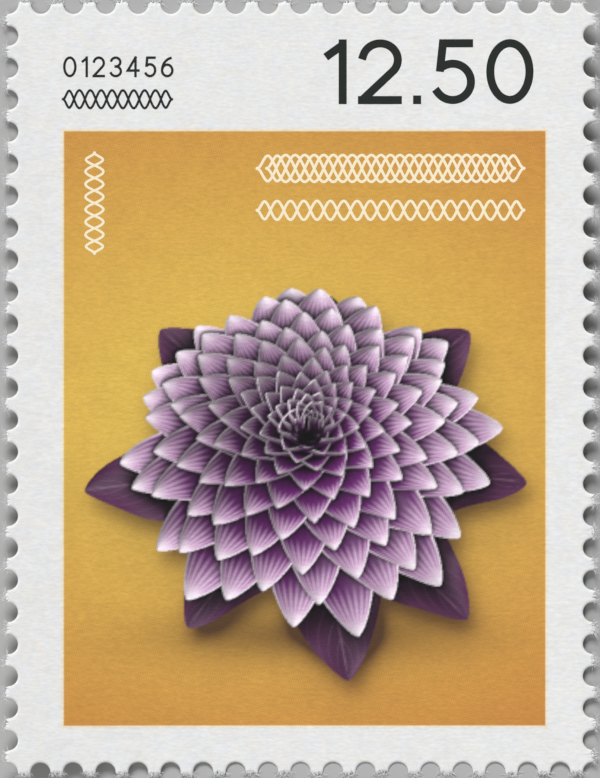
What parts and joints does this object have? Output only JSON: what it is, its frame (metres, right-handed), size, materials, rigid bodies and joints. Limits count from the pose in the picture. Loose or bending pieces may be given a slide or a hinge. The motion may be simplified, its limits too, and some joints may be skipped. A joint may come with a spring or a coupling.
{
  "type": "postage stamp",
  "caption": "Upright paper postage stamp with toothed perforated edges, a printed picture panel and a gummed back that sticks to an envelope.",
  "frame": {"origin": "centre of the stamp, on the surface that its gummed back rests on", "axes": "+X to the stamp's right side, +Y up the printed picture, +Z out of the printed face"},
  "size_m": [0.0264, 0.0346, 0.0012],
  "materials": {
    "paper": "coated white stamp paper, matte, with torn fibres along the perforation",
    "picture_ink": "offset colour print in fine screened dots, satin",
    "black_ink": "solid black offset print",
    "gum": "dried gum, a thin glossy coat on the back"
  },
  "bodies": {
    "root": {"stamp_sheet": "paper"}
  },
  "joints": []
}
